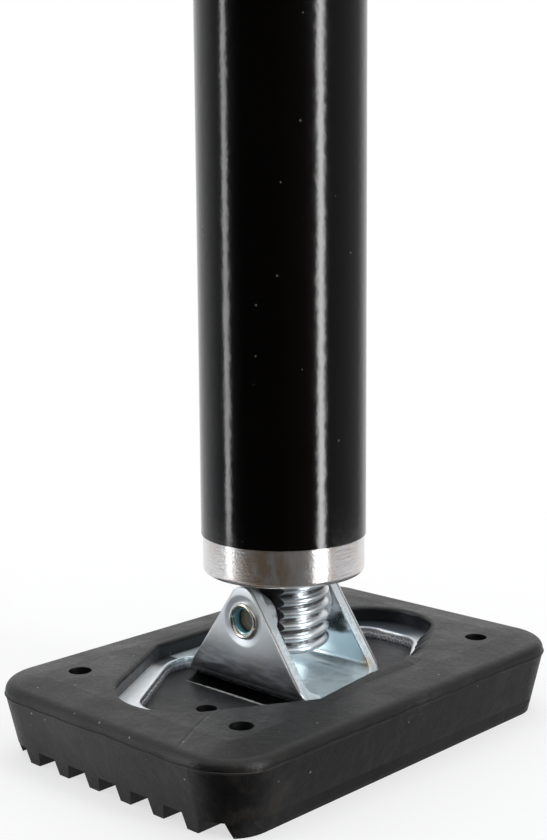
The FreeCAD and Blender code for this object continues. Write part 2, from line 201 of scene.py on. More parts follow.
def off_middle(vector, name):
    """X, Y or Z of a vector without its sign."""
    return calc("ABSOLUTE", axis(vector, name))


print("arithmetic helpers ready")


# %% Helpers for surfaces
BUMP_DEPTH = 0.2 * MM


def object_place():
    """Position on the piece itself, in metres, so that a finish moves with it."""
    return place("TexCoord").outputs["Object"]


def facing(name):
    """X, Y or Z of the direction that a face looks in, without its sign."""
    return off_middle(place("TexCoord").outputs["Normal"], name)


def stretched(vector, scale):
    """The same position with its axes scaled, for grain that runs one way."""
    return place("Mapping", {"Vector": vector, "Scale": scale}).outputs[0]


def noise(vector, scale, detail=2.0, roughness=0.5):
    """Soft noise from 0 to 1; scale is in waves per metre."""
    sockets = {"Vector": vector, "Scale": scale, "Detail": detail, "Roughness": roughness}
    return place("TexNoise", sockets).outputs["Fac"]


def blend_colours(factor, first, second):
    """Mix of two colours, each a socket or a triple of red, green and blue."""
    pair = [c if isinstance(c, bpy.types.NodeSocket) else (*c, 1) for c in (first, second)]
    return place("Mix", {0: factor, 6: pair[0], 7: pair[1]}, data_type="RGBA").outputs[2]


def layered(base, *layers):
    """Colour with dirt and wear over it; each layer is a mask, its share and its colour."""
    for mask, share, colour in layers:
        base = blend_colours(times(mask, share), base, colour)
    return base


def blend_shaders(factor, first, second):
    """Mix of two shaders."""
    return place("MixShader", {0: factor, 1: first, 2: second}).outputs[0]


def rounded_edges(radius, samples=4):
    """Normal that rounds the light on sharp edges."""
    return place("Bevel", {"Radius": radius}, samples=samples).outputs[0]


def bumped(height, strength, normal=None):
    """Normal of a fine relief, on top of another normal where there is one."""
    sockets = {"Height": height, "Strength": strength, "Distance": BUMP_DEPTH}
    if normal is not None:
        sockets["Normal"] = normal
    return place("Bump", sockets).outputs[0]


print("surface helpers ready")

# %% [markdown]
# ## Stage
# The photo is on plain white. The floor is pale, looks white to the camera and keeps a soft
# shadow under the foot. It rides on the body that goes up and down with the spindle but doesn't
# turn, so it stays under the foot when the spindle is screwed out.

# %% Pale floor
FLOOR_SIZE = 12.0
FLOOR_COLOUR, FLOOR_ROUGHNESS = (0.86, 0.86, 0.86, 1), 0.9
half = FLOOR_SIZE / 2
floor_mesh = bpy.data.meshes.new("floor")
floor_mesh.from_pydata([(-half, -half, 0), (half, -half, 0), (half, half, 0), (-half, half, 0)],
                       [], [(0, 1, 2, 3)])
floor = new_object("floor", floor_mesh)
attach(floor, "screw_guide")
floor_material, shader = new_material("pale_floor")
connect(shader, {"Base Color": FLOOR_COLOUR, "Roughness": FLOOR_ROUGHNESS, "Specular IOR Level": 0.0})
floor_mesh.materials.append(floor_material)
print("floor", FLOOR_SIZE, "m")

# %% [markdown]
# The camera sees the floor white, a little less so in the shadow close to the foot. Polished
# metal mirrors what stands around it, so the floor has to look right there too: metal sees the
# white sheet only near the foot, where it lights the ears, and the room past it. One distance
# from the foot and two directions mark where the sheet ends for it.

# %% What the camera and polished metal see of the floor
SHADOW_NEAR, SHADOW_FAR, SHADOW_WHITE = 0.06, 0.34, 0.66
MIRROR_SHARE = 0.5
SHEET_END, FRONT_END, PAD_SIDE, PAD_ROUND = (0.17, 0.25), (0.05, 0.10), (0.005, 0.05), (0.15, 0.11)
WHITE = (1, 1, 1, 1)
to_camera = Vector((-forward.x, -forward.y, 0)).normalized()
right_side = to_camera * 0.8 + level_right * 0.6
spot = object_place()
rays = place("LightPath").outputs
mirrored = rays["Is Glossy Ray"]
reach = vector_calc("LENGTH", spot)
nearer = vector_calc("DOT_PRODUCT", spot, to_camera)
rightward = vector_calc("DOT_PRODUCT", spot, right_side)
direct = larger(rays["Is Camera Ray"], times(mirrored, MIRROR_SHARE))
white_share = times(direct, remap(reach, SHADOW_NEAR, SHADOW_FAR, SHADOW_WHITE, 1.0))
by_pad = times(remap(rightward, *PAD_SIDE), remap(reach, *PAD_ROUND))
off_sheet = larger(remap(reach, *SHEET_END), remap(nearer, *FRONT_END), by_pad)
seen = place("Emission", {"Color": WHITE, "Strength": 1.0}).outputs[0]
open_room = place("BsdfTransparent").outputs[0]
lit = blend_shaders(white_share, shader.outputs[0], seen)
shown = blend_shaders(times(mirrored, off_sheet), lit, open_room)
connect(tree.nodes["Material Output"], {"Surface": shown})
print("camera side", [round(c, 3) for c in to_camera])

# %% [markdown]
# ## Room
# Polished metal shows the room more than the lamps: it is dark on the camera's side and white
# behind, as in a small studio. The dark side makes the middle of the gloss tube black, and two
# tall light strips draw the two bright lines along it. The strips are part of the room, so they
# run the whole height of the tube, and they end a little below the horizon.

# %% Direction in the room, in degrees to the right of the camera's side
world = bpy.data.worlds.new("studio")
scene.world = world
world.use_nodes = True
tree = world.node_tree
tree.nodes.clear()
look = place("TexCoord").outputs["Generated"]
turned = calc("ARCTAN2", vector_calc("DOT_PRODUCT", look, level_right),
              vector_calc("DOT_PRODUCT", look, to_camera))
degrees = times(turned, 180 / math.pi)
height = axis(look, "Z")
print("world", world.name)

# %% Walls, light strips and ceiling
WALL_TONES = [(-180, (1.0, 1.0, 1.0)), (-146, (0.95, 0.95, 0.96)), (-122, (0.62, 0.63, 0.65)),
              (-100, (0.29, 0.30, 0.31)), (-72, (0.085, 0.085, 0.085)), (-56, (0.022, 0.019, 0.017)),
              (-8, (0.022, 0.018, 0.015)), (30, (0.055, 0.046, 0.040)), (64, (0.18, 0.17, 0.17)),
              (100, (0.26, 0.26, 0.27)), (124, (0.36, 0.36, 0.37)), (146, (0.95, 0.95, 0.96)),
              (180, (1.0, 1.0, 1.0))]
STRIPS = [(-82.0, 2.2, 4.2, 5.6), (53.0, 1.4, 6.6, 13.0)]     # middle, half width, soft edge, level
STRIP_TOP, STRIP_FADE, STRIP_FOOT, STRIP_END = 0.75, 0.45, -0.27, -0.35
CEILING, CEILING_FROM, CEILING_TO = (0.92, 0.93, 0.95), 0.30, 0.75
ramp = place("ValToRGB", {0: plus(times(degrees, 1 / 360), 0.5)})
stops = ramp.color_ramp.elements
while len(stops) < len(WALL_TONES):
    stops.new(0.5)
for stop, (at, tone) in zip(stops, WALL_TONES):
    stop.position = at / 360 + 0.5
    stop.color = (*tone, 1)
room = blend_colours(remap(height, CEILING_FROM, CEILING_TO), ramp.outputs[0], CEILING)
for middle, half_width, soft_edge, level in STRIPS:
    off = calc("ABSOLUTE", minus(degrees, middle))
    glow = times(remap(off, half_width + soft_edge, half_width),
                 remap(height, STRIP_TOP, STRIP_FADE, 0.0, level),
                 remap(height, STRIP_END, STRIP_FOOT))
    room = vector_calc("ADD", room, glow)
around = place("Background", {"Color": room, "Strength": 1.0}).outputs[0]
backdrop = place("Background", {"Color": WHITE, "Strength": 1.0}).outputs[0]
camera_ray = place("LightPath").outputs["Is Camera Ray"]
place("OutputWorld", {"Surface": blend_shaders(camera_ray, around, backdrop)})
scene.view_settings.view_transform = "Standard"
print("room tones", len(WALL_TONES), "strips", len(STRIPS))

# %% [markdown]
# ## Lamp
# The white parts of the room give most of the light. One large softbox overhead, a little behind
# the prop, adds some to the level faces. A spot lamp could do that too, but a large lamp has soft
# edges, so it draws no hard spot on the metal.

# %% Overhead softbox
SOFTBOX_SIZE, SOFTBOX_WATTS = 1.2, 9.0
SOFTBOX_AT, SOFTBOX_AIM = Vector((0.35, 0.2, 1.9)), Vector((0, 0, 0.1))
top_data = bpy.data.lights.new("top_softbox", "AREA")
top_data.shape = "RECTANGLE"
top_data.size = SOFTBOX_SIZE
top_data.size_y = SOFTBOX_SIZE
top_data.energy = SOFTBOX_WATTS
top_lamp = new_object("top_softbox", top_data)
top_lamp.location = SOFTBOX_AT
top_lamp.rotation_euler = (SOFTBOX_AIM - SOFTBOX_AT).to_track_quat("-Z", "Y").to_euler()
print("softbox", SOFTBOX_WATTS, "W")

# %% [markdown]
# ## Shared surface effects
# Dust, scratches and uneven tone come up on several finishes, so each is a node group with its
# own inputs. A group gives out only a mask or a value, and the material decides what it does.


# %% Group helper
def effect(name, values, output):
    """Empty node group: a Place input, float inputs with their usual values, one float output."""
    global tree
    tree = bpy.data.node_groups.new(name, "ShaderNodeTree")
    tree.interface.new_socket("Place", in_out="INPUT", socket_type="NodeSocketVector")
    for label, value in values.items():
        socket = tree.interface.new_socket(label, in_out="INPUT", socket_type="NodeSocketFloat")
        socket.default_value = value
    tree.interface.new_socket(output, in_out="OUTPUT", socket_type="NodeSocketFloat")
    return tree, tree.nodes.new("NodeGroupInput").outputs, tree.nodes.new("NodeGroupOutput")


def use(group, sockets):
    """Place a node group in a material with its own values, and give its one output."""
    return place("Group", sockets, node_tree=group).outputs[0]


def fading(distance, width):
    """One at no distance, falling evenly to nothing at a width."""
    share = calc("DIVIDE", distance, width)
    return place("Math", {0: 1.0, 1: share}, operation="SUBTRACT", use_clamp=True).outputs[0]


print("group helper ready")

# %% [markdown]
# Dust lies as single specks of different sizes. A Voronoi texture has one random colour per cell:
# its first channel chooses the cells that hold a speck and its second sets the size of the speck,
# so each material can ask for its own share and size.

# %% Dust specks
dust_group, entry, leave = effect("dust_specks", {"Per metre": 200.0, "Size": 0.08, "Share": 0.2}, "Mask")
cells = place("TexVoronoi", {"Vector": entry["Place"], "Scale": entry["Per metre"]}).outputs
chance = place("SeparateColor", {0: cells["Color"]}).outputs
chosen = calc("LESS_THAN", chance[0], entry["Share"])
speck_size = times(entry["Size"], plus(chance[1], 0.3))
near = fading(cells["Distance"], speck_size)
connect(leave, {"Mask": times(chosen, calc("POWER", near, 0.5))})
print("group", dust_group.name)

# %% [markdown]
# Hairlines are long, thin and slightly bent. The borders between Voronoi cells are such lines. A
# little noise in the position bends them, and a second noise breaks them off, so that only a
# share of them is left.

# %% Hairline scratches
BEND, BREAKS = 0.02, 45.0
hairline_group, entry, leave = effect("hairlines", {"Per metre": 60.0, "Width": 0.012, "Share": 0.3}, "Mask")
waves = place("TexNoise", {"Vector": entry["Place"], "Scale": entry["Per metre"]}).outputs["Color"]
bend = place("VectorMath", {0: waves, "Scale": BEND}, operation="SCALE").outputs[0]
bent = vector_calc("ADD", entry["Place"], bend)
borders = place("TexVoronoi", {"Vector": bent, "Scale": entry["Per metre"]}, feature="DISTANCE_TO_EDGE")
line = fading(borders.outputs["Distance"], entry["Width"])
kept = calc("LESS_THAN", noise(entry["Place"], BREAKS, 1.0), entry["Share"])
connect(leave, {"Mask": times(line, kept)})
print("group", hairline_group.name)

# %% [markdown]
# No real finish has one tone. A slow noise and a fine one, added in fixed shares, give a value
# round one half that most finishes here use for colour and roughness. A helper starts such a
# finish.

# %% Uneven tone
COARSE_SHARE, FINE_SHARE = 0.65, 0.35
mottle_group, entry, leave = effect("uneven_tone", {"Coarse": 60.0, "Fine": 900.0}, "Value")
coarse = noise(entry["Place"], entry["Coarse"], 3.0)
fine = noise(entry["Place"], entry["Fine"])
connect(leave, {"Value": plus(times(coarse, COARSE_SHARE), times(fine, FINE_SHARE))})


def new_finish(name, coarse, fine):
    """Empty material, its Principled shader, the position on the piece and an uneven tone."""
    material, shader = new_material(name)
    spot = object_place()
    return material, shader, spot, use(mottle_group, {"Place": spot, "Coarse": coarse, "Fine": fine})


print("group", mottle_group.name)

# %% [markdown]
# ## Places on the foot
# A wear mark, a stain or a film sits at one place. Masks by position put it there: near a point,
# along a line, or by the height above the sole. The head is the same foot turned over, so a
# height is measured from the nearer end of the prop, and one mask serves both.


# %% Masks by position
def near_point(spot, point, far, close):
    """One at a point, fading to nothing at a distance from it."""
    return remap(vector_calc("DISTANCE", spot, point), far, close)


def near_line(spot, start, end, half_width):
    """One on a straight line between two points, fading out beside it."""
    run = Vector(end) - Vector(start)
    along = vector_calc("SUBTRACT", spot, start)
    share = vector_calc("DOT_PRODUCT", along, run / run.length_squared)
    share = larger(calc("MINIMUM", share, 1.0), 0.0)
    foot = place("VectorMath", {0: run, "Scale": share}, operation="SCALE").outputs[0]
    return remap(vector_calc("DISTANCE", along, foot), half_width, half_width * 0.2)


def level_in_foot(spot):
    """Height above the sole of the foot, or below the face of the head."""
    height = axis(spot, "Z")
    return calc("MINIMUM", height, minus(total_height, height))


print("position masks ready")

# %% [markdown]
# ## Rubber
# The pads are moulded black rubber. Its skin is matt but not dull: faces that look at the dark
# side of the room go nearly black and the top catches a soft sheen from the white wall. The photo
# also shows pale dust specks, cloudy smears, a brown bloom low on the front corner, a scuff on
# the near upper edge and a fine mould line across the front corner of the top. The lip's inner
# wall is smoother, and its colour is a painted shade that makes it black. The head's pad is the
# same rubber, but it keeps only dust and smears.

# %% Inner wall of the lip
LIP_SLOPE, LIP_WALL, LIP_END = math.radians(29.6), 33.8 * MM, 50.5 * MM
LIP_LOW, LIP_HIGH, LIP_EDGE = 14.5 * MM, 18.2 * MM, 18.8 * MM


def lip_wall(spot):
    """One on the inner wall of the lip, where the rubber gets a painted shade and a smoother skin."""
    from_middle = off_middle(spot, "X")
    outward = plus(times(from_middle, math.sin(LIP_SLOPE)),
                   times(off_middle(spot, "Y"), math.cos(LIP_SLOPE)))
    inside = times(calc("LESS_THAN", outward, LIP_WALL), calc("LESS_THAN", from_middle, LIP_END))
    level = level_in_foot(spot)
    band = times(remap(level, LIP_EDGE, LIP_HIGH), calc("GREATER_THAN", level, LIP_LOW))
    upright = remap(facing("Z"), 0.6, 0.3)
    return times(inside, upright, band)


print("lip slope", round(math.degrees(LIP_SLOPE), 1), "degrees")

# %% Moulded rubber
RUBBER_DARK, RUBBER_LIGHT = (0.0034, 0.0034, 0.0037), (0.0068, 0.0068, 0.0071)
SMEAR_GREY, BLOOM_BROWN, SCUFF_GREY = (0.024, 0.024, 0.025), (0.028, 0.023, 0.015), (0.060, 0.060, 0.058)
# The lip's near-black colour is a painted shade on the lip's inner wall.
LIP_PAINTED_SHADE, DUST_GREY = (0.0025, 0.0025, 0.0027), (0.30, 0.30, 0.30)
BLOOM_AT, SCUFF_AT = Vector((-50.0, -39.0, 6.0)) * MM, Vector((1.5, -40.5, 17.5)) * MM
CREASE_FROM, CREASE_TO = Vector((-42.6, -17.1, 19.1)) * MM, Vector((-58.5, -24.5, 18.6)) * MM
rubber, shader, spot, tone = new_finish("moulded_rubber", 55.0, 1400.0)
dust = use(dust_group, {"Place": spot, "Per metre": 300.0, "Size": 0.08, "Share": 0.45})
smear = remap(noise(stretched(spot, (1.0, 0.35, 1.0)), 95.0, 4.0, 0.6), 0.52, 0.74)
bloom = times(near_point(spot, BLOOM_AT, 20.0 * MM, 6.0 * MM), remap(noise(spot, 210.0, 3.0), 0.45, 0.62))
scuff = times(near_point(spot, SCUFF_AT, 11.0 * MM, 3.0 * MM),
              remap(noise(stretched(spot, (1.0, 1.0, 2.5)), 420.0, 3.0), 0.50, 0.66))
crease = near_line(spot, CREASE_FROM, CREASE_TO, 0.6 * MM)
lip = lip_wall(spot)
clean = blend_colours(remap(tone, 0.35, 0.65), RUBBER_DARK, RUBBER_LIGHT)
worn = layered(clean, (smear, 0.4, SMEAR_GREY), (bloom, 0.4, BLOOM_BROWN), (scuff, 0.30, SCUFF_GREY),
               (lip, 1.0, LIP_PAINTED_SHADE), (dust, 0.9, DUST_GREY))
dull = plus(remap(tone, 0.34, 0.66, 0.36, 0.54), times(plus(smear, scuff, dust), 0.12), times(lip, -0.07))
grain = plus(times(noise(spot, 2400.0), 0.5), times(noise(spot, 260.0), 1.6), times(crease, -0.5))
connect(shader, {"Base Color": worn, "Roughness": dull, "Specular IOR Level": 0.45,
                 "Normal": bumped(grain, 0.6)})
print("finish", rubber.name)

# %% [markdown]
# ## Zinc plating
# The stamped plate, the rivets and the screws are bright zinc: a cool, slightly blue metal that
# is nearly a mirror. Rolled sheet is never quite flat, so a slow wave and a fine grain run over
# it, with thin hairlines from handling. A Bevel node rounds the light on the sheared edges, which
# is where the photo's bright edge lines come from. One function makes every zinc finish: films
# and stains are layers over it, and a chalky film makes the surface less of a metal.

# %% Bright zinc
SHARP_EDGE = 0.7 * MM
ZINC_DARK, ZINC_LIGHT, ZINC_STRAW = (0.76, 0.82, 0.86), (0.90, 0.93, 0.95), (0.78, 0.76, 0.66)
BRIGHT, SATIN, CHALKY_METALLIC = (0.15, 0.22), (0.285, 0.35), 0.3


def zinc_finish(name, roughness, layers=(), edge=None, bloom=None):
    """Zinc between two roughness values. Each layer gives a mask, a colour and added roughness
    from a position, edge gives the radius of the rounded edges and bloom where a film is chalky."""
    material, shader, spot, tone = new_finish(name, 120.0, 1800.0)
    lines = use(hairline_group, {"Place": spot, "Per metre": 120.0, "Width": 0.005, "Share": 0.40})
    metal = blend_colours(remap(tone, 0.35, 0.65), ZINC_DARK, ZINC_LIGHT)
    metal = layered(metal, (remap(noise(spot, 70.0), 0.50, 0.66), 0.35, ZINC_STRAW))
    polish = plus(remap(tone, 0.3, 0.7, *roughness), times(lines, 0.06))
    for layer in layers:
        mask, colour, added = layer(spot)
        metal = blend_colours(mask, metal, colour)
        polish = plus(polish, times(mask, added))
    rolled = noise(stretched(spot, (1.0, 1.0, 0.1)), 1500.0)
    streaks = noise(stretched(spot, (1.0, 0.25, 1.0)), 420.0)
    relief = plus(times(rolled, 0.08), times(lines, -0.06),
                  times(noise(spot, 110.0, 1.0), 0.8), times(streaks, 0.3))
    soft_edge = rounded_edges(edge(spot) if edge else SHARP_EDGE, samples=8)
    connect(shader, {
        "Base Color": metal, "Roughness": polish, "Normal": bumped(relief, 0.25, soft_edge),
        "Metallic": remap(bloom(spot), 0.0, 1.0, 1.0, CHALKY_METALLIC) if bloom else 1.0})
    return material


zinc = zinc_finish("bright_zinc", BRIGHT)
print("finish", zinc.name)

# %% [markdown]
# ## Sheared edges of the stamped plate
# A punch cuts sheet steel half-way and tears the rest, so a sheared edge has a burnished half, an
# uneven line and a dull torn half. The photo shows that on the edges of the windows, with a pale
# burr as the line, and as a thin dark line along the ears. The depth through the sheet, measured
# along Z in the plate and along X in the ears, with a little noise, places the line, and the
# direction of the face keeps it off the flat sides.

# %% Depth through the sheet on its cut edges
SHEET_SEAT, SHEET, EAR_INNER, EAR_START = 12.1 * MM, 3.0 * MM, 11.4 * MM, 17.0 * MM
EAR_LINE_SHIFT, EDGE_ON = 0.32, 0.4
ROLL_OVER, ROLL_TOP, ROLL_END = 1.1 * MM, 16.0 * MM, 19.0 * MM


def on_ears(spot):
    """One on the ears, nothing on the plate."""
    return calc("GREATER_THAN", level_in_foot(spot), EAR_START)


def cut_depth(spot):
    """Share of the sheet's thickness on a cut edge, uneven, and a mask of the cut edges."""
    ears = on_ears(spot)
    plate = minus(1.0, ears)
    ear_depth = calc("DIVIDE", minus(off_middle(spot, "X"), EAR_INNER), SHEET)
    plate_depth = calc("DIVIDE", minus(level_in_foot(spot), SHEET_SEAT), SHEET)
    depth = plus(times(ears, minus(ear_depth, EAR_LINE_SHIFT)), times(plate, plate_depth))
    cut = plus(times(ears, calc("LESS_THAN", facing("X"), EDGE_ON)),
               times(plate, calc("LESS_THAN", facing("Z"), EDGE_ON)))
    uneven = times(minus(noise(spot, 520.0, 3.0), 0.5), 0.45, plus(times(plate, 0.7), 0.3))
    return plus(depth, uneven), cut


def stamped_edge(spot):
    """Wide roll-over that the punch leaves along the windows, and a narrow one up on the ears."""
    return remap(level_in_foot(spot), ROLL_TOP, ROLL_END, ROLL_OVER, SHARP_EDGE)


print("sheet", SHEET / MM, "mm")

# %% Torn half and tear lines
TORN_GREY, EAR_LINE, BURR = (0.30, 0.30, 0.34), (0.13, 0.10, 0.07), (0.88, 0.90, 0.94)


def torn_half(spot):
    """Dull, speckled lower half of the window edges."""
    depth, cut = cut_depth(spot)
    speckle = remap(noise(spot, 1500.0), 0.38, 0.58, 0.1, 1.0)
    torn = times(cut, minus(1.0, on_ears(spot)), remap(depth, 0.95, 0.45), speckle)
    return torn, TORN_GREY, 0.22


def tear_line(spot):
    """Thin line where the cut turns into a tear."""
    depth, cut = cut_depth(spot)
    off = calc("ABSOLUTE", minus(depth, 0.5))
    return times(cut, remap(off, 0.10, 0.03))


def ear_tear(spot):
    """Dark line along the edges of the ears."""
    return times(tear_line(spot), on_ears(spot), 0.8), EAR_LINE, 0.1


def window_tear(spot):
    """Pale burr along the edges of the windows."""
    return times(tear_line(spot), minus(1.0, on_ears(spot))), BURR, 0.1


print("tear layers ready")

# %% [markdown]
# ## Films and painted reflections on the stamped plate
# The plate has lived: water left a chalky film on the strip between the ears and on the rim that
# shows inside the lip, the rivet set rubbed a duller ring round the rivet, and a small brown stain
# sits in the bend of the right ear. Two dark layers are painted reflections: a cool one of the lip
# wall on the rim at the right, and a streaky one of the black pad low on the outer side of the
# ears. The inner side of the ears is a bluer satin. Each is a layer with its own mask. The chalky
# film scatters light, so it lowers Metallic instead.

# %% Films, painted reflections, stain and pressed ring
EAR_REFLECTION_TOP, EAR_REFLECTION_LOW = 26.5 * MM, 17.0 * MM
RIM_TOP, RIM_LOW, RIM_BRIGHT, RIM_DARK = 19.0 * MM, 16.0 * MM, -11.0 * MM, -3.0 * MM
RIVET_AXIS, RING_END, RING_OUT, RING_IN = 30.5 * MM, 7.6 * MM, 4.0 * MM, 2.0 * MM
BEND_STAIN = Vector((11.2, -17.0, 17.8)) * MM
# The dark grey and the dark blue here are painted dark reflections: of the black pad low on the ears, and of
# the lip wall on the rim at the right.
SATIN_BLUE, EAR_REFLECTION_GREY, RIM_REFLECTION_BLUE = (0.78, 0.91, 0.96), (0.15, 0.15, 0.17), (0.13, 0.17, 0.22)
RUBBED_ZINC, STAIN_TAN = (0.80, 0.85, 0.89), (0.66, 0.50, 0.34)


def satin_inside(spot):
    """Blue, satin inner side of the ears and of the strip between them."""
    cloudy = remap(noise(spot, 180.0, 3.0), 0.35, 0.65, 0.85, 1.0)
    inside = remap(off_middle(spot, "X"), EAR_INNER + 0.6 * SHEET, EAR_INNER + 0.4 * SHEET)
    return times(inside, cloudy), SATIN_BLUE, -0.10


def ear_painted_reflection(spot):
    """Streaky painted dark reflection of the black pad, low on the outer side of the ears."""
    level = level_in_foot(spot)
    outside = calc("GREATER_THAN", off_middle(spot, "X"), EAR_INNER + 0.8 * SHEET)
    above = calc("GREATER_THAN", level, SHEET_SEAT + 1.1 * SHEET)
    streak = remap(noise(stretched(spot, (1.0, 0.22, 1.0)), 900.0, 3.0), 0.35, 0.62, 0.55, 1.0)
    low = remap(level, EAR_REFLECTION_TOP, EAR_REFLECTION_LOW, 0.0, 0.8)
    return times(outside, above, low, streak), EAR_REFLECTION_GREY, 0.0


def flat_top(spot):
    """One on the level top of the plate, below the ears."""
    return times(remap(facing("Z"), 0.80, 0.97), remap(level_in_foot(spot), RIM_TOP, RIM_LOW))


def rim_painted_reflection(spot):
    """Painted dark, cool reflection of the lip wall on the rim at the right, as far as the end of the window.
    """
    there = times(remap(axis(spot, "X"), EAR_START, EAR_START + SHEET),
                  remap(axis(spot, "Y"), RIM_BRIGHT, RIM_DARK, 0.0, 0.9))
    return times(flat_top(spot), there), RIM_REFLECTION_BLUE, 0.0


def from_rivet(spot):
    """Distance from the axis of the rivet."""
    beside = axis(spot, "Y")
    rise = minus(level_in_foot(spot), RIVET_AXIS)
    return calc("SQRT", plus(times(beside, beside), times(rise, rise)))


def pressed_ring(spot):
    """Duller ring round the rivet, where the rivet set rubbed the ears."""
    return remap(from_rivet(spot), RING_END + RING_OUT, RING_END - RING_IN), RUBBED_ZINC, 0.10


def bend_stain(spot):
    """Small brown stain in the bend of the right ear."""
    patchy = remap(noise(spot, 420.0, 3.0), 0.36, 0.60, 0.2, 0.7)
    return times(near_point(spot, BEND_STAIN, 3.4 * MM, 0.6 * MM), patchy), STAIN_TAN, 0.0


print("film layers ready")


# %% Chalky film, and the finish of the stamped plates
def pale_bloom(spot):
    """Chalky film where water stands, on the strip between the ears and on the rim that shows
    inside the lip, and the torn edges, which scatter light as well."""
    across = off_middle(spot, "X")
    cloudy = remap(noise(spot, 240.0, 3.0), 0.30, 0.65, 0.6, 0.85)
    strip = times(cloudy, remap(across, EAR_INNER + 0.5 * SHEET, EAR_INNER + 0.1 * SHEET),
                  remap(level_in_foot(spot), RIM_TOP, RIM_LOW))
    rim = times(flat_top(spot), remap(across, EAR_START, EAR_START + 2.0 * SHEET),
                remap(axis(spot, "X"), -EAR_START, EAR_START, 1.0, 0.15))
    torn = times(larger(torn_half(spot)[0], window_tear(spot)[0]), 0.9)
    burr = remap(noise(spot, 900.0), 0.35, 0.65, 0.3, 0.75)
    ear_edge = times(cut_depth(spot)[1], on_ears(spot), burr)
    return larger(strip, rim, torn, ear_edge)


stamped_zinc = zinc_finish(
    "stamped_zinc", SATIN, edge=stamped_edge, bloom=pale_bloom,
    layers=(satin_inside, ear_painted_reflection, rim_painted_reflection, pressed_ring, bend_stain, torn_half, ear_tear, window_tear))
print("finish", stamped_zinc.name)

# %% [markdown]
# ## Passivated rivets
# The rivets went through a passivating bath, and the film on them shows thin-film colours. In the
# bore they change with depth: teal at its mouth, then a dark band that is painted shade, straw, and
# a pale band that is painted light; the rims are a mix of grey and straw. The distance from the
# rivet's axis tells the bore from the rim.

# %% Tinted zinc of the rivets
RIVET_BORE, RIM_START, BORE_MOUTH, RIVET_EDGE = 2.9 * MM, 3.25 * MM, 15.0 * MM, 0.2 * MM
# The dark and the pale colours of the bore are painted shade and painted light.
TEAL, BORE_PAINTED_SHADE = (0.26, 0.66, 0.80), (0.03, 0.10, 0.13)
BORE_STRAW, BORE_PAINTED_LIGHT = (0.66, 0.50, 0.30), (0.88, 0.88, 0.82)
RIM_GREY, RIM_STRAW = (0.84, 0.86, 0.86), (0.82, 0.78, 0.66)
BORE_BANDS = [(1.6 * MM, 2.4 * MM, BORE_PAINTED_SHADE), (2.8 * MM, 3.4 * MM, BORE_STRAW),
              (3.9 * MM, 4.5 * MM, BORE_PAINTED_LIGHT)]
rivet_zinc, shader, spot, tone = new_finish("passivated_rivet_zinc", 260.0, 1800.0)
on_rim = remap(from_rivet(spot), RIVET_BORE, RIM_START)
inward = plus(minus(BORE_MOUTH, off_middle(spot, "X")), times(minus(tone, 0.5), 2.0 * MM))
bore_tint = TEAL
for band_start, band_full, tint in BORE_BANDS:
    bore_tint = blend_colours(remap(inward, band_start, band_full), bore_tint, tint)
rim_tint = blend_colours(remap(tone, 0.40, 0.60), RIM_GREY, RIM_STRAW)
connect(shader, {
    "Base Color": blend_colours(on_rim, bore_tint, rim_tint),
    "Metallic": plus(times(on_rim, 0.5), 0.5),
    "Roughness": plus(remap(tone, 0.3, 0.7, 0.14, 0.24), times(minus(1.0, on_rim), 0.16)),
    "Normal": bumped(noise(spot, 2500.0), 0.06, rounded_edges(RIVET_EDGE))})
print("finish", rivet_zinc.name)

# %% [markdown]
# ## Turned steel
# The collar nut comes straight from the lathe. The tool leaves fine rings, some burnished and
# some dull, so its highlights have a sharp core in a wide glow. A warm film of oil lies on it,
# with a brown stain where it ran down, and there are small dark pits.

# %% Lathe-turned steel
OIL_STAIN = Vector((-16.6, -10.3, 45.0)) * MM
STEEL_GREY, OIL_WARM = (0.72, 0.71, 0.71), (0.66, 0.56, 0.48)
STAIN_BROWN, PIT_BROWN = (0.52, 0.36, 0.22), (0.26, 0.20, 0.15)
MACHINED_EDGE = 0.5 * MM
steel, shader = new_material("turned_steel")
spot = object_place()
rings = noise(stretched(spot, (0.02, 0.02, 1.0)), 6500.0)
film = remap(noise(spot, 150.0, 4.0, 0.6), 0.44, 0.64)
stain = times(near_point(spot, OIL_STAIN, 9.0 * MM, 2.0 * MM),
              remap(noise(stretched(spot, (1.0, 1.0, 0.4)), 330.0, 3.0), 0.34, 0.58))
pits = use(dust_group, {"Place": spot, "Per metre": 640.0, "Size": 0.22, "Share": 0.30})
bare = blend_colours(times(film, 0.35), STEEL_GREY, OIL_WARM)
bare = layered(bare, (stain, 0.85, STAIN_BROWN), (pits, 0.7, PIT_BROWN))
sparkle = plus(rings, times(noise(spot, 1500.0), 1.5), times(pits, -3.0))
connect(shader, {
    "Base Color": bare, "Metallic": 0.86,
    "Roughness": plus(remap(rings, 0.35, 0.65, 0.18, 0.25), times(pits, 0.02)),
    "Normal": bumped(sparkle, 0.14, rounded_edges(MACHINED_EDGE))})
print("finish", steel.name)

# %% [markdown]
# ## Black coat
# The tube is powder coated in gloss black. The coat is deep and even, but its surface has a faint
# orange-peel wave, which is what makes the edges of the lamp reflections tremble, and it has
# picked up a little dust and a few hairlines.

# %% Gloss black powder coat
COAT_DARK, COAT_LIGHT, COAT_DUST = (0.0004, 0.0003, 0.0003), (0.0012, 0.0010, 0.0009), (0.18, 0.175, 0.17)
black, shader, spot, tone = new_finish("gloss_black_coat", 40.0, 700.0)
dust = use(dust_group, {"Place": spot, "Per metre": 260.0, "Size": 0.080, "Share": 0.45})
marks = use(hairline_group, {"Place": spot, "Per metre": 55.0, "Width": 0.004, "Share": 0.26})
worn = plus(times(dust, 0.6), times(marks, 0.03))
coat = blend_colours(worn, blend_colours(tone, COAT_DARK, COAT_LIGHT), COAT_DUST)
peel = plus(noise(spot, 700.0), times(noise(spot, 260.0, 1.0), 2.0))
connect(shader, {"Base Color": coat, "Roughness": remap(tone, 0.3, 0.7, 0.11, 0.15),
                 "Normal": bumped(peel, 0.10)})
print("finish", black.name)

# %% [markdown]
# ## Black plastic
# The bush and the guide pieces are moulded plastic, more even than rubber and a little shinier.

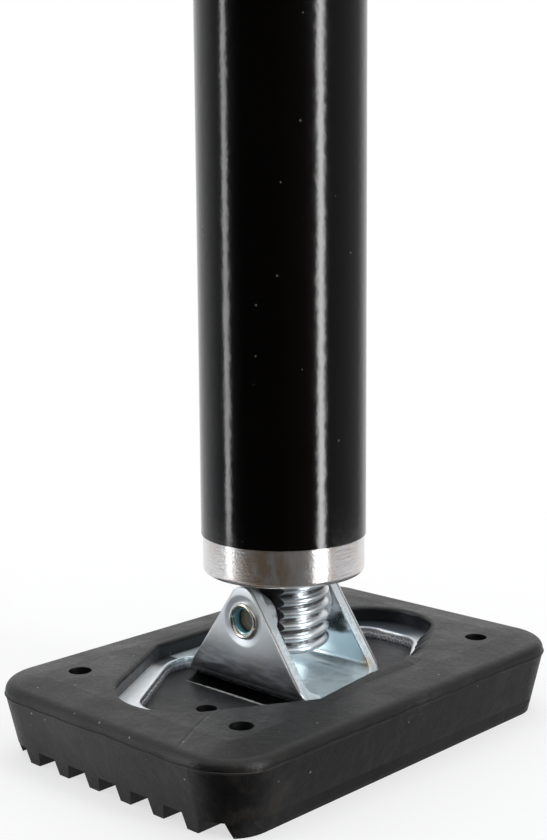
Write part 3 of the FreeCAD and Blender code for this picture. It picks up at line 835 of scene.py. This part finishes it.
# %% Moulded plastic
PLASTIC_DARK, PLASTIC_LIGHT = (0.014, 0.014, 0.015), (0.026, 0.026, 0.027)
plastic, shader, spot, tone = new_finish("moulded_plastic", 110.0, 2400.0)
connect(shader, {
    "Base Color": blend_colours(tone, PLASTIC_DARK, PLASTIC_LIGHT),
    "Roughness": remap(tone, 0.3, 0.7, 0.34, 0.48),
    "Normal": bumped(noise(spot, 3000.0), 0.2, rounded_edges(MACHINED_EDGE))})
print("finish", plastic.name)

# %% [markdown]
# ## Solids and finishes
# The record of the part names a material slot for each solid, and a table turns the slot into a
# finish. The plates and the rivets have finishes made for their place, so a second table goes
# first. The meshes themselves stay as they were loaded.

# %% Give each solid its finish
FINISHES = {"rubber": rubber, "zinc": zinc, "turned_steel": steel, "black_coat": black, "plastic": plastic}
OWN_FINISHES = {"foot_plate": stamped_zinc, "head_plate": stamped_zinc,
                "foot_rivet": rivet_zinc, "head_rivet": rivet_zinc}
for part in frame["record"]["subparts"]:
    mesh = nodes[part["node"]].data
    mesh.materials.clear()
    mesh.materials.append(OWN_FINISHES.get(part["node"], FINISHES[part["material_slot"]]))

# %% [markdown]
# ## Pieces from sections
# The threads, the flash lines, the feathers, the torn lip and the weld are all long shapes whose
# section changes along them. A curve with a bevel can't change its section so freely, so one helper
# joins a row of sections, each a small ring of points, to a closed surface.


# %% Helpers for pieces
def loft(name, sections, closed=False):
    """Closed mesh through a row of sections, capped at both ends unless the row is closed."""
    sides, count, faces = len(sections[0]), len(sections), []
    for j in range(count if closed else count - 1):
        after = (j + 1) % count
        for k in range(sides):
            beside = (k + 1) % sides
            faces.append((j * sides + k, j * sides + beside, after * sides + beside, after * sides + k))
    if not closed:
        last = (count - 1) * sides
        faces += [tuple(reversed(range(sides))), tuple(range(last, last + sides))]
    mesh = bpy.data.meshes.new(name)
    mesh.from_pydata([point for section in sections for point in section], [], faces)
    shape = bmesh.new()
    shape.from_mesh(mesh)
    bmesh.ops.recalc_face_normals(shape, faces=shape.faces)
    shape.to_mesh(mesh)
    shape.free()
    return new_object(name, mesh)


def round_section(middle, out, lift, radius, sides):
    """Points of a small circle round its middle, spread by two directions."""
    turns = [2 * math.pi * k / sides for k in range(sides)]
    return [middle + out * (radius * math.cos(turn)) + lift * (radius * math.sin(turn)) for turn in turns]


def finish_piece(piece, crease, material, body):
    """Smooth a piece but for creases above an angle, give it its finish, let it move with a body."""
    mesh = piece.data
    mesh.polygons.foreach_set("use_smooth", [True] * len(mesh.polygons))
    mesh.set_sharp_from_angle(angle=math.radians(crease))
    mesh.materials.clear()
    mesh.materials.append(material)
    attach(piece, body)


print("piece helpers ready")

# %% [markdown]
# ## Screw threads
# The solids of the spindle and of the clamp screw are plain at their outer thread diameter. The
# real ones are rolled threads with rounded crests. A thread could be an Array of one turn, but
# round sections whose radius follows the helix give one clean closed surface, and a second list,
# the turned outline, trims it to the chamfers, shoulders and journals of the solid.

# %% Threaded rod helper
ROUND_OFF = 0.02
PAST_CREST = 1.001


def thread_radius(angle, z, crest, depth, pitch):
    """Radius of a right-hand thread with rounded crests at an angle and height."""
    phase = 2 * math.pi * (z / pitch) - angle
    wave = math.sqrt(math.cos(phase / 2) ** 2 + ROUND_OFF) - math.sqrt(ROUND_OFF)
    return crest - depth * (1 - wave / (math.sqrt(1 + ROUND_OFF) - math.sqrt(ROUND_OFF)))


def threaded_rod(name, outline, crest, depth, pitch, segments, rows_per_turn):
    """Rod along Z: the turned outline of (radius, height) points, with a thread where it allows."""
    rows = [outline[0]]
    for (r0, z0), (r1, z1) in zip(outline, outline[1:]):
        steps = 1
        if z1 > z0 and crest * PAST_CREST > max(r0, r1) > crest - depth:
            steps = max(1, math.ceil((z1 - z0) / pitch * rows_per_turn))
        rows += [(r0 + (r1 - r0) * i / steps, z0 + (z1 - z0) * i / steps) for i in range(1, steps + 1)]
    sections = []
    for limit, z in rows:
        section = []
        for k in range(segments):
            angle = 2 * math.pi * k / segments
            cut = limit > crest * PAST_CREST
            r = limit if cut else min(limit, thread_radius(angle, z, crest, depth, pitch))
            section.append((r * math.cos(angle), r * math.sin(angle), z))
        sections.append(section)
    return loft(name, sections)


print("thread helper ready")

# %% [markdown]
# ## Spindle
# The real spindle is turned and threaded, and then milled: its lower end becomes a flat tongue
# that fits between the ears, with a cross hole for the rivet. It is made in the same order here.
# Boolean modifiers cut two boxes and a cylinder out of the threaded rod, and the result is kept.

# %% Cutting helpers
z_axis = Vector((0, 0, 1))


def tool_object(shape):
    """Cutting tool made of a closed shape."""
    mesh = bpy.data.meshes.new("cutting_tool")
    shape.to_mesh(mesh)
    shape.free()
    return new_object("cutting_tool", mesh)


def tool_box(low, high):
    """Box between two corners, for cutting."""
    shape = bmesh.new()
    bmesh.ops.create_cube(shape, size=1.0)
    for v in shape.verts:
        v.co = Vector(low[i] if v.co[i] < 0 else high[i] for i in range(3))
    return tool_object(shape)


def tool_rod(radius, length, centre, along):
    """Cylinder along a direction through a centre, for cutting."""
    shape = bmesh.new()
    turn = z_axis.rotation_difference(Vector(along)).to_matrix().to_4x4()
    bmesh.ops.create_cone(shape, cap_ends=True, segments=64, radius1=radius, radius2=radius, depth=length,
                          matrix=Matrix.Translation(centre) @ turn)
    return tool_object(shape)


def cut_away(piece, tools):
    """Cut closed tool meshes out of a piece and apply the result."""
    for number, tool in enumerate(tools):
        boolean = piece.modifiers.new("cut%d" % number, "BOOLEAN")
        boolean.object = tool
        boolean.operation = "DIFFERENCE"
        boolean.solver = "EXACT"
    graph = bpy.context.evaluated_depsgraph_get()
    result = bpy.data.meshes.new_from_object(piece.evaluated_get(graph))
    piece.modifiers.clear()
    old = piece.data
    piece.data = result
    bpy.data.meshes.remove(old)
    for tool in tools:
        bpy.data.objects.remove(tool)


print("cutting helpers ready")

# %% Spindle with its thread, tongue and cross hole
spindle_low, spindle_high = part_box("spindle")
spindle_bottom, spindle_top = spindle_low[2], spindle_high[2]
SPINDLE_CREST, SPINDLE_DEPTH, SPINDLE_PITCH = 11.0 * MM, 1.5 * MM, 3.0 * MM
SPINDLE_CHAMFER = 0.8 * MM
SHOULDER = 138.6 * MM
JOURNAL = 7.0 * MM
TONGUE_HALF = 8.0 * MM
FLATS_TOP = 44.6 * MM
RIVET_HOLE = 3.75 * MM
RING_LOW, RING_HIGH, RING_GROOVE = 149.2 * MM, 150.4 * MM, 5.8 * MM
SPINDLE_SEGMENTS, SPINDLE_ROWS = 112, 14
CREASE_ANGLE = 40
spindle = threaded_rod(
    "spindle_thread",
    [(SPINDLE_CREST - SPINDLE_CHAMFER, spindle_bottom), (SPINDLE_CREST, spindle_bottom + SPINDLE_CHAMFER),
     (SPINDLE_CREST, SHOULDER), (JOURNAL, SHOULDER), (JOURNAL, RING_LOW), (RING_GROOVE, RING_LOW),
     (RING_GROOVE, RING_HIGH), (JOURNAL, RING_HIGH), (JOURNAL, spindle_top)],
    SPINDLE_CREST, SPINDLE_DEPTH, SPINDLE_PITCH, SPINDLE_SEGMENTS, SPINDLE_ROWS)
wide = 2 * SPINDLE_CREST
cut_away(spindle, [
    tool_box((TONGUE_HALF, -wide, spindle_bottom - wide), (wide, wide, FLATS_TOP)),
    tool_box((-wide, -wide, spindle_bottom - wide), (-TONGUE_HALF, wide, FLATS_TOP)),
    tool_rod(RIVET_HOLE, 2 * wide, Vector((0, 0, RIVET_AXIS)), (1, 0, 0))])
print("spindle faces", len(spindle.data.polygons))

# %% [markdown]
# ## Dark roots and flats on the thread
# The thread is dark in its roots, patchy, and nearly black on the milled flats, and a thin brown
# film lies on the upper left of the thread, close to the nut.

# %% Darkened zinc of the spindle
ROOT_FROM, ROOT_FULL = SPINDLE_CREST - 0.50 * SPINDLE_DEPTH, SPINDLE_CREST - 0.80 * SPINDLE_DEPTH
FLAT_SLACK = 0.02 * MM
# The near-black colour darkens the thread roots and the milled flats.
THREAD_DARK, FILM_BROWN = (0.024, 0.018, 0.022), (0.30, 0.21, 0.13)
BROWN_SIDE, BROWN_RISE = (0.5 * MM, 7.0 * MM), (20.0 * MM, 34.0 * MM)


def thread_darkening(spot):
    """Dark colour where the thread is deep, patchy, and nearly black on the milled flats."""
    radius = vector_calc("LENGTH", vector_calc("MULTIPLY", spot, (1, 1, 0)))
    patchy = remap(noise(spot, 260.0, 3.0), 0.32, 0.52)
    roots = times(remap(radius, ROOT_FROM, ROOT_FULL), patchy, 0.85)
    flats = place("Math", {0: off_middle(spot, "X"), 1: TONGUE_HALF, 2: FLAT_SLACK},
                  operation="COMPARE").outputs[0]
    return larger(roots, times(flats, 0.92)), THREAD_DARK, 0.35


def brown_film(spot):
    """Thin brown film on the upper left of the thread, under the nut."""
    aside = vector_calc("DOT_PRODUCT", spot, -level_right)
    patchy = remap(noise(stretched(spot, (1.0, 1.0, 2.0)), 330.0, 3.0), 0.36, 0.60, 0.5, 0.95)
    film = times(remap(aside, *BROWN_SIDE), remap(axis(spot, "Z"), *BROWN_RISE), patchy)
    return film, FILM_BROWN, 0.12


darkened_zinc = zinc_finish("darkened_zinc_thread", SATIN, layers=(brown_film, thread_darkening))
finish_piece(spindle, CREASE_ANGLE, darkened_zinc, "screw")
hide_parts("spindle")
print("finish", darkened_zinc.name)

# %% [markdown]
# ## Clamp screw
# The clamp screw is a bought metric thread with a round head, drilled across for its bar. It is
# made upright with the same helper and then laid along the X axis.

# %% Threaded clamp screw
clamp_low, clamp_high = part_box("clamp_screw")
clamp_height = (clamp_low[2] + clamp_high[2]) / 2
CLAMP_CREST, CLAMP_DEPTH, CLAMP_PITCH = 5.0 * MM, 0.8 * MM, 1.5 * MM
PIN_RADIUS, HEAD_RADIUS, HEAD_CHAMFER = 2.4 * MM, 8.0 * MM, 1.0 * MM
THREAD_START, HEAD_START, BAR_AT, BAR_HOLE = 19.45 * MM, 44.4 * MM, 49.4 * MM, 3.0 * MM
CLAMP_SEGMENTS, CLAMP_ROWS = 64, 10
tip, end = clamp_low[0], clamp_high[0]
clamp_screw = threaded_rod(
    "clamp_screw_thread",
    [(PIN_RADIUS, tip), (PIN_RADIUS, THREAD_START), (CLAMP_CREST - CLAMP_DEPTH, THREAD_START),
     (CLAMP_CREST, THREAD_START + CLAMP_DEPTH), (CLAMP_CREST, HEAD_START),
     (HEAD_RADIUS - HEAD_CHAMFER, HEAD_START), (HEAD_RADIUS, HEAD_START + HEAD_CHAMFER),
     (HEAD_RADIUS, end - HEAD_CHAMFER), (HEAD_RADIUS - HEAD_CHAMFER, end)],
    CLAMP_CREST, CLAMP_DEPTH, CLAMP_PITCH, CLAMP_SEGMENTS, CLAMP_ROWS)
clamp_screw.data.transform(Matrix(((0, 0, 1, 0), (0, 1, 0, 0), (-1, 0, 0, clamp_height), (0, 0, 0, 1))))
cut_away(clamp_screw, [tool_rod(BAR_HOLE, 4 * HEAD_RADIUS, Vector((BAR_AT, 0, clamp_height)), (0, 1, 0))])
finish_piece(clamp_screw, CREASE_ANGLE, zinc, "clamp")
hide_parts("clamp_screw")
print("clamp screw faces", len(clamp_screw.data.polygons))

# %% [markdown]
# ## Flash line of the pads
# A rubber pad is moulded in two halves, and a little rubber creeps out between them. The photo
# shows that seam as an uneven thin line just under the upper edge. A ring of small sections that
# follows the outline, with a seeded wobble in its size, gives that line on both pads.


# %% Outline of a pad
def rounded_outline(half_x, half_y, corner, step):
    """Points and outward normals round a rectangle with round corners, about a step apart."""
    points, normals = [], []
    for sign_x, sign_y, start in ((1, 1, 0), (-1, 1, 90), (-1, -1, 180), (1, -1, 270)):
        turns = max(4, math.ceil(corner * math.pi / 2 / step))
        for i in range(turns + 1):
            angle = math.radians(start + 90 * i / turns)
            out = Vector((math.cos(angle), math.sin(angle), 0))
            points.append(Vector((sign_x * (half_x - corner), sign_y * (half_y - corner), 0)) + out * corner)
            normals.append(out)
        length = 2 * (half_x - corner) if start in (0, 180) else 2 * (half_y - corner)
        steps = math.ceil(length / step)
        along = Vector((-normals[-1].y, normals[-1].x, 0))
        for i in range(1, steps):
            points.append(points[-1] + along * (length / steps))
            normals.append(normals[-1])
    return points, normals


pad_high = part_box("foot_pad")[1]
PAD_CORNER, FLASH_STEP = 13.0 * MM, 1.6 * MM
outline, outward = rounded_outline(pad_high[0], pad_high[1], PAD_CORNER, FLASH_STEP)
print("pad outline points", len(outline))

# %% Flash line on both pads
PARTING, FLASH, FLASH_WOBBLE, FLASH_WANDER = 15.4 * MM, 0.22 * MM, 0.14 * MM, 0.25 * MM
FLASH_SIDES, ALL_SMOOTH = 6, 180
for name, body, level in (("foot_flash", "foot", PARTING), ("head_flash", "head", total_height - PARTING)):
    draw = random.Random(name)
    wobble = [draw.uniform(-1, 1) for _ in outline]
    soft = [(wobble[i - 2] + wobble[i - 1] + wobble[i]) / 3 for i in range(len(wobble))]
    bead = loft(name, [round_section(point + z_axis * (level + FLASH_WANDER * w), out, z_axis,
                                     FLASH + FLASH_WOBBLE * w, FLASH_SIDES)
                       for point, out, w in zip(outline, outward, soft)], closed=True)
    finish_piece(bead, ALL_SMOOTH, rubber, body)
    print(name, "sections", len(outline))

# %% [markdown]
# ## Worn edge of the recess, with a painted highlight
# Under the plate, the pad's floor has a shallow recess for the bends of the ears. In the photo its
# long edge shows as a thin pale line that tapers at the far end: a feather of moulding flash, worn
# light, whose pale colour is also a painted highlight. Each line is a thin strand that sits on that
# edge and swells and thins along it.

# %% Worn rubber with a painted highlight
# This pale rubber colour is partly wear and partly a painted highlight on the recess edge.
WORN_HIGHLIGHT_DARK, WORN_HIGHLIGHT_LIGHT = (0.20, 0.20, 0.20), (0.46, 0.46, 0.45)
worn_highlight_rubber, shader, spot, tone = new_finish("worn_highlight_rubber", 300.0, 2400.0)
connect(shader, {"Base Color": blend_colours(remap(tone, 0.35, 0.65), WORN_HIGHLIGHT_DARK, WORN_HIGHLIGHT_LIGHT),
                 "Roughness": remap(tone, 0.3, 0.7, 0.45, 0.6), "Normal": bumped(tone, 0.3)})
print("finish", worn_highlight_rubber.name)


# %% Strand helper
def strand(name, path, radii, sides):
    """Round strand along an open path of points, closed at its ends."""
    sections = []
    for j, (point, radius) in enumerate(zip(path, radii)):
        run = (path[min(j + 1, len(path) - 1)] - path[max(j - 1, 0)]).normalized()
        out = run.cross(z_axis).normalized()
        sections.append(round_section(point, out, out.cross(run), radius, sides))
    return loft(name, sections)


print("strand helper ready")

# %% Feather of flash on the recess edges
RECESS_EDGE, FEATHER_FAR, FEATHER_NEAR = 16.2 * MM, 18.6 * MM, -15.0 * MM
FEATHER, FEATHER_WANDER, FEATHER_POINTS = 0.26 * MM, 0.03, 44
draw = random.Random("recess edge")
for name, side in (("recess_edge_left", -1), ("recess_edge_right", 1)):
    path, radii = [], []
    for i in range(FEATHER_POINTS):
        t = i / (FEATHER_POINTS - 1)
        path.append(Vector((side * RECESS_EDGE, FEATHER_FAR + (FEATHER_NEAR - FEATHER_FAR) * t,
                            SHEET_SEAT + draw.uniform(-FEATHER_WANDER, FEATHER_WANDER) * MM)))
        swell = min(1.0, 0.15 + 2.4 * t) * min(1.0, 0.2 + 6 * (1 - t))
        radii.append(FEATHER * swell * draw.uniform(0.82, 1.12))
    feather = strand(name, path, radii, FLASH_SIDES)
    finish_piece(feather, ALL_SMOOTH, worn_highlight_rubber, "foot")
    print(name, "points", FEATHER_POINTS)

# %% [markdown]
# ## Torn lip
# The plate has squeezed the pad's lip. At the right a wrinkled feather of torn rubber hangs from
# the lip's edge down on the plate, and along the front the lip is lifted and leans inwards. Both
# are one strip, lofted from sections along the lip: each starts inside the lip, leans over the
# plate and ends in a ragged edge. The raggedness is two waves and a little seeded chance.

# %% Line of the lip: round end, slanted side, front side
LIP_ROUND, LIP_CENTRE, LIP_FRONT = 16.8 * MM, Vector((31.9, 0, 0)) * MM, 28.9 * MM
TEAR_FROM, CORNER_RUN = math.radians(-38), 5.0 * MM
slant_turn = LIP_SLOPE - math.pi / 2
arc_length = LIP_ROUND * (TEAR_FROM - slant_turn)
slant_start = LIP_CENTRE + LIP_ROUND * Vector((math.cos(slant_turn), math.sin(slant_turn), 0))
slant_length = (LIP_FRONT + slant_start.y) / math.sin(LIP_SLOPE)
slant_along = Vector((-math.cos(LIP_SLOPE), -math.sin(LIP_SLOPE), 0))


def lip_edge(run):
    """Point and outward direction at a run along the lip, the direction eased over the corner."""
    if run < arc_length:
        angle = TEAR_FROM - run / LIP_ROUND
        out = Vector((math.cos(angle), math.sin(angle), 0))
        return LIP_CENTRE + out * LIP_ROUND, out
    beyond = run - arc_length - slant_length
    eased = min(1.0, max(0.0, 0.5 + beyond / CORNER_RUN))
    angle = slant_turn + (-math.pi / 2 - slant_turn) * eased
    point = slant_start + slant_along * min(run - arc_length, slant_length) - Vector((max(beyond, 0.0), 0, 0))
    return point, Vector((math.cos(angle), math.sin(angle), 0))


print("lip runs", [round(length / MM, 1) for length in (arc_length, slant_length)], "mm")

# %% Strip of torn rubber along the lip
LIP_TOP, TEAR_ROOT, TEAR_REACH, FRONT_REACH = 18.9 * MM, 0.5 * MM, 3.7 * MM, 0.74
TEAR_RUN, TEAR_STATIONS, WRINKLE, TOOTH = 80.0 * MM, 192, 2.1 * MM, 5.3 * MM
FALL_FROM, FALL_RUN, TEAR_CREASE = 16.0 * MM, 9.0 * MM, 60
TOOTH_DEPTH, WRINKLE_DEPTH, FOLD_HEIGHT = 0.07, 0.05, 0.45
# Share of the reach, drop and lift in mm along the front, drop in mm at the window, share of the fold.
TORN_SECTION = [(0.0, 1.6, 0.0, 3.8, 0.0), (0.0, 0.0, 0.0, 0.0, 0.0), (0.30, 0.4, 0.9, 0.9, 0.4),
                (0.75, 0.4, 1.4, 2.5, 1.0), (1.0, 0.4, 1.2, 3.55, 0.0), (1.0, 0.9, 0.0, 3.8, 0.0)]
draw = random.Random("torn lip")
sections = []
for i in range(TEAR_STATIONS):
    t = i / (TEAR_STATIONS - 1)
    run = t * TEAR_RUN
    edge, out = lip_edge(run)
    fall = min(1.0, max(0.0, 1.0 - (run - arc_length - FALL_FROM) / FALL_RUN))
    ease = min(1.0, 2.6 * (1 - t))
    swell = min(1.0, 0.04 + 15.0 * t) * ease * (FRONT_REACH + (1 - FRONT_REACH) * fall)
    wrinkle_turn, tooth_turn = 2 * math.pi * run / WRINKLE, 2 * math.pi * run / TOOTH
    teeth = TOOTH_DEPTH * math.sin(tooth_turn) + WRINKLE_DEPTH * math.sin(wrinkle_turn + 1.0)
    ragged = 0.93 + teeth + draw.uniform(-0.05, 0.05)
    reach = TEAR_REACH * swell * (1 + (ragged - 1) * (0.2 + 0.8 * fall))
    fold = swell * fall * (FOLD_HEIGHT * math.sin(wrinkle_turn) + draw.uniform(-0.2, 0.2))
    section = []
    for share, front_drop, lift, window_drop, folded in TORN_SECTION:
        inward = share * reach if share else -TEAR_ROOT
        front = front_drop - lift * ease
        drop = front + (window_drop - front) * fall - fold * folded
        section.append(edge - out * inward + z_axis * (LIP_TOP - drop * MM))
    sections.append(section)
torn_lip = loft("torn_lip", sections)
finish_piece(torn_lip, TEAR_CREASE, rubber, "foot")
print("torn lip stations", TEAR_STATIONS)

# %% [markdown]
# ## Weld of the clamp boss
# The boss is welded to the tube before coating, so its weld is as black as the tube. The seam
# follows the line where the round boss meets the round tube, and its ripples are the steps of
# the welder's hand.

# %% Rippled weld bead
TUBE_RADIUS, BOSS_RADIUS = 20.0 * MM, 9.0 * MM
WELD, RIPPLES, WELD_SECTIONS, WELD_SIDES = 1.7 * MM, 26, 208, 10
sections = []
for i in range(WELD_SECTIONS):
    around = 2 * math.pi * i / WELD_SECTIONS
    y, z = BOSS_RADIUS * math.cos(around), BOSS_RADIUS * math.sin(around)
    seam = Vector((math.sqrt(TUBE_RADIUS ** 2 - y ** 2), y, clamp_height + z))
    out = Vector((0, math.cos(around), math.sin(around)))
    ripple = abs(math.sin(RIPPLES * around / 2))
    sections.append(round_section(seam, out, Vector((1, 0, 0)), WELD * (0.82 + 0.18 * ripple), WELD_SIDES))
weld = loft("boss_weld", sections, closed=True)
finish_piece(weld, ALL_SMOOTH, black, "tube")
print("weld sections", WELD_SECTIONS)
